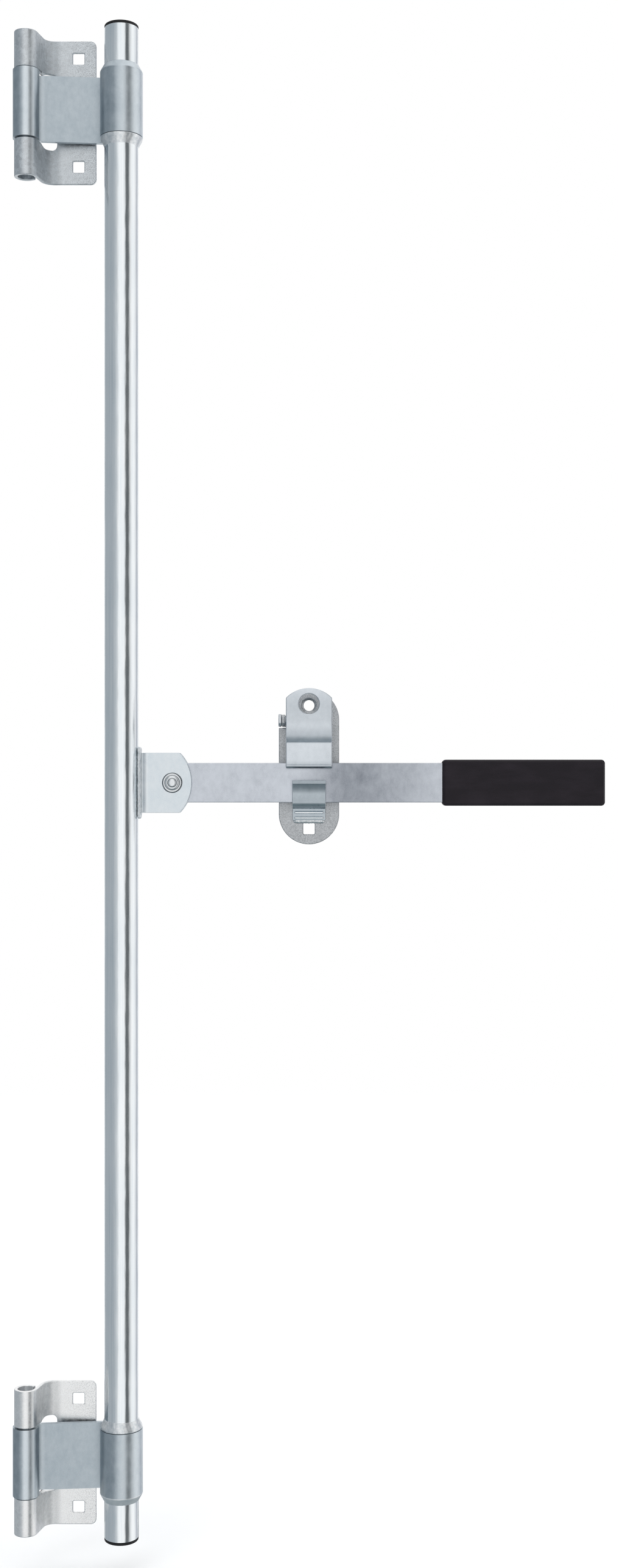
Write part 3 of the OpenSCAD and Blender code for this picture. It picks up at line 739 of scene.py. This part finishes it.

# %% [markdown]
# The rivet's crests carry a painted highlight, and painted shade darkens the hollows and the ring round the
# rim.
# How far a point lies from the rivet's axis says which of the two it is,
# so a ramp over that distance, as a share of the head's radius, paints both.

# %% Peened steel
peened_steel, tree, shader = surface("peened_steel", Metallic=1.0)
centred = Wire.node(tree, "ShaderNodeVectorMath", {"operation": "SUBTRACT"},
                    {0: spot(tree, (1, 0, 1)), 1: (rivet_x, 0, rivet_z)})
share = Wire.node(tree, "ShaderNodeVectorMath", {"operation": "LENGTH"}, {0: centred}, "Value") * (1 / head)
# Painted highlight on the crests, painted shade in the hollows and round the rim
crest_highlight_hollow_shade = share.ramp((0.34, 1), (0.43, 0.1), (0.52, 1), (0.65, 1),
                   (0.73, 0.05), (0.80, 1), (0.87, 0.9), (0.94, 0))
scuff = mottle(spot(tree), 900, 3.0, 0.6)
feed(shader,
     Base_Color=(crest_highlight_hollow_shade * (0.75 + 0.4 * scuff)).tint((0.17, 0.185, 0.20), (0.80, 0.83, 0.85)),
     Roughness=0.18 + 0.16 * scuff,
     Normal=relief(scuff, 0.1 * MM, 0.5))
stand_in(rivet, "bar", "pivot_rivet", finish=peened_steel)
print("peened_steel nodes:", len(tree.nodes))

# %% [markdown]
# Each sleeve is welded to the tube at its inner end. The bead starts full at the sleeve's edge
# and runs out on the tube, with the ripples of the welder's weave round it.
# It is the lathe again, with a shaken radius: a wave for the weave and noise for the hand.
# Both only take away from the outline, so the bead never grows past it.

# %% Sleeve welds
WEAVES = 26
WEAVE_LEAN = 5
RIPPLE = 0.10 * MM
CREST_MIDDLE = 0.6
WOBBLE = 0.30 * MM
WOBBLE_LUMPS = 3
WOBBLE_PER_METRE = 260
WOBBLE_SHIFT = 0.35
BEAD_SHY = 0.02 * MM
BEAD_RISE = 6
BEAD_AROUND = 288
# Pairs of (mm beyond the sleeve's or the tube's radius, share of the way from the sleeve's edge to the toe)
BY_SLEEVE = [(-0.9, 0.0), (-0.25, 0.06), (-0.35, 0.16), (-0.75, 0.32)]
BY_TUBE = [(1.7, 0.5), (1.05, 0.66), (0.5, 0.8), (0.1, 0.92), (-0.4, 1.0), (-0.4, 0.4)]

bar = (tube_high.x - tube_low.x) / 2
for side, name in ((1, "upper_sleeve_weld"), (-1, "lower_sleeve_weld")):
    low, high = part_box(name)
    sleeve = (high.x - low.x) / 2
    top, toe = (high.z, low.z) if side > 0 else (low.z, high.z)
    run = toe - top

    def weave(angle, radius, height):
        """How far the bead falls short of its outline."""
        share = (height - top) / run
        crest = abs(math.sin((angle * WEAVES + WEAVE_LEAN * share) / 2)) - CREST_MIDDLE
        x, y = math.cos(angle) * WOBBLE_LUMPS, math.sin(angle) * WOBBLE_LUMPS
        hand = noise.noise(Vector((x, y, height * WOBBLE_PER_METRE))) + WOBBLE_SHIFT
        swell = min(1.0, share * BEAD_RISE) * (1 - share) ** 0.5
        return min(0.0, -BEAD_SHY + swell * (RIPPLE * crest - WOBBLE * hand))

    line = [(sleeve + out * MM, share) for out, share in BY_SLEEVE]
    line += [(bar + out * MM, share) for out, share in BY_TUBE]
    bead = lathe(name + "_bead", [(r, top + run * share) for r, share in line], upright(low, high),
                 around=BEAD_AROUND, shake=weave, closed=True)
    stand_in(bead, "bar", name)
print("sleeve welds: 2,", WEAVES, "ripples each")

# %% [markdown]
# At its outer end each sleeve is drawn in until it hugs the tube: a short bend, a cone and a thin lip.
# The lathe turns that neck. It starts a hair inside the sleeve's skin, so no step shows where the two meet.
# The sleeve's outer end lies as far from the hinge's middle as its welded end does.
# The lower neck faces down into the dark, so its zinc is painted paler than its sleeve's, as painted light
# against that shade.

# %% Sleeve necks
NECK_START = -1.8 * MM
NECK_LENGTH = 6 * MM
NECK_BEND = 2.6 * MM
NECK_SHY = 0.08 * MM
NECK_LIP = 0.35 * MM
NECK_STEPS = 6

for side, hinge, finish in ((1, "upper", zinc_sheet), (-1, "lower", zinc_neck_painted_light)):
    low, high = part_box(hinge + "_sleeve_weld")
    leaf_low, leaf_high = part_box(hinge + "_swing_leaf")
    skin = (high.x - low.x) / 2 - NECK_SHY
    start = leaf_low.z + leaf_high.z - (high.z if side > 0 else low.z) + side * NECK_START
    drop = skin - bar - NECK_LIP
    slope = (NECK_LENGTH - math.sqrt(NECK_LENGTH ** 2 - 2 * NECK_BEND * drop)) / NECK_BEND
    outline = [(bar - NECK_LIP, -NECK_LIP), (skin - NECK_LIP, -NECK_LIP)]
    for k in range(NECK_STEPS + 1):
        run = slope * NECK_BEND * k / NECK_STEPS
        outline.append((skin - run ** 2 / (2 * NECK_BEND), run))
    outline.append((bar + NECK_LIP * (1 + slope), NECK_LENGTH - NECK_LIP))
    outline.append((bar + NECK_LIP, NECK_LENGTH))
    outline.append((bar - NECK_LIP, NECK_LENGTH))
    neck = lathe(hinge + "_sleeve_neck", [(r, start + side * h) for r, h in outline], upright(low, high),
                 closed=True)
    add_piece(neck, "bar", slot_of[hinge + "_swing_leaf"], finish)
print("sleeve necks: 2,", round(drop / MM, 2), "mm drawn in")

# %% [markdown]
# The clevis stands against the tube on two straight beads, front and back, and the keeper's hook on a third.
# A bead is a tube of changing thickness along a line: crescent ripples, a slow wander and blunt ends.
# One helper lays all three, each as long as the solid that it stands in for.

# %% Straight bead
STEP = 0.35 * MM
SIDES = 20
BLUNTEST = 0.02
RIPPLE_BOW = 0.45
RIPPLE_POWER = 0.7
RIPPLE_MIDDLE = 0.7
WANDER_PER_METRE = 160
WANDER_REACH = 0.25 * MM
HAND_PER_METRE = 420
HAND_LUMPS = 0.8
# Shares of the bead's radius: the plain bead, then what ripples, hand and wander add or take
PLAIN, BY_CREST, BY_HAND, BY_WANDER = 0.91, 0.10, 0.07, 0.05


def straight_bead(name, start, end, across, out, radius, ripple, seed, slim=1.0):
    """A rippled bead from start to end; across and out are its two side directions."""
    along = (end - start).normalized()
    length = (end - start).length
    count = int(length / STEP)
    rings = []
    for i in range(count + 1):
        run = length * i / count
        blunt = math.sqrt(max(BLUNTEST, 1 - max(0, 1 - min(run, length - run) / radius) ** 2))
        wander = noise.noise(Vector((run * WANDER_PER_METRE, seed, 0.5)))
        middle = start + along * run + across * (WANDER_REACH * wander)
        ring = []
        for k in range(SIDES):
            angle = 2 * math.pi * k / SIDES
            ahead, aside = math.cos(angle), math.sin(angle)
            crescent = run / ripple + RIPPLE_BOW * ahead
            crest = abs(math.sin(math.pi * crescent)) ** RIPPLE_POWER - RIPPLE_MIDDLE
            hand = noise.noise(Vector((run * HAND_PER_METRE, ahead * HAND_LUMPS, seed + aside * HAND_LUMPS)))
            grown = radius * blunt * (PLAIN + BY_CREST * crest + BY_HAND * hand + BY_WANDER * wander)
            ring.append(middle + across * (slim * grown * aside) + out * (grown * ahead))
        rings.append(ring)
    return ring_skin(name, rings)


print("bead helper ready, a ring every", STEP / MM, "mm")

# %% [markdown]
# The clevis beads fill the corner between tube and clevis, so they are slimmer across than they stand proud.
# The hook's bead fills the corner below its foot, and is partly sunk in the foot and in the keeper's plate.

# %% Straight welds
X, Y, Z = Vector((1, 0, 0)), Vector((0, 1, 0)), Vector((0, 0, 1))
CLEVIS_END_SHY = 0.2 * MM
CLEVIS_RIPPLE = 3.1 * MM
CLEVIS_SLIM = 0.6
HOOK_INSET = 0.3 * MM
HOOK_BEAD = 2.6 * MM
HOOK_RIPPLE = 2.3 * MM

for name, facing, seed in (("clevis_front_weld", -Y, 3.1), ("clevis_rear_weld", Y, 7.7)):
    low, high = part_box(name)
    middle = (low + high) / 2
    foot = Vector((middle.x, middle.y, low.z + CLEVIS_END_SHY))
    top = Vector((middle.x, middle.y, high.z - CLEVIS_END_SHY))
    bead = straight_bead(name + "_bead", foot, top, X, facing, (high.y - low.y) / 2, CLEVIS_RIPPLE, seed,
                         slim=CLEVIS_SLIM)
    stand_in(bead, "bar", name)

low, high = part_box("keeper_hook_weld")
left = Vector((low.x + HOOK_INSET, high.y - HOOK_INSET, high.z - HOOK_INSET))
right = Vector((high.x - HOOK_INSET, high.y - HOOK_INSET, high.z - HOOK_INSET))
bead = straight_bead("keeper_hook_weld_bead", left, right, Z, -Y, HOOK_BEAD, HOOK_RIPPLE, seed=1.3)
stand_in(bead, "root", "keeper_hook_weld")
print("straight welds: 3")

# %% [markdown]
# Two ribs pressed into the hook's foot stiffen it against the door's shaking.
# Each is a low half-round bar with round ends: the lathe spins it along X,
# stretched a little out of the plate, and its rear half lies inside the foot.

# %% Foot ribs
KEEPER_SHEET = 3 * MM
RIB_HALF = 1.15 * MM
RIB_PROUD = 1.2 * MM
RIB_INSET = 1.2 * MM
RIB_AROUND = 32
RIB_LIFTS = {"keeper_hook_lower_rib": 1.9 * MM, "keeper_hook_upper_rib": 6.2 * MM}

low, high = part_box("keeper_hook")
foot_face = high.y - KEEPER_SHEET
foot_middle = (low.x + high.x) / 2
rib_half_length = (high.x - low.x) / 2 - RIB_INSET
round_end = arc((0, rib_half_length - RIB_HALF), RIB_HALF, 0, 84, 8)
outline = [(r, -h) for r, h in reversed(round_end)] + round_end
for name, lift in RIB_LIFTS.items():

    def along_foot(r, angle, h):
        proud = RIB_PROUD / RIB_HALF * r * math.cos(angle)
        return foot_middle + h, foot_face - proud, hook_foot + lift + r * math.sin(angle)

    rib = lathe(name, outline, along_foot, around=RIB_AROUND)
    # The ribs wear the paler zinc as a painted highlight
    add_piece(rib, "root", slot_of["keeper_hook"], zinc_rib_painted_highlight)
print("foot ribs: 2,", round(2 * rib_half_length / MM, 1), "mm long")
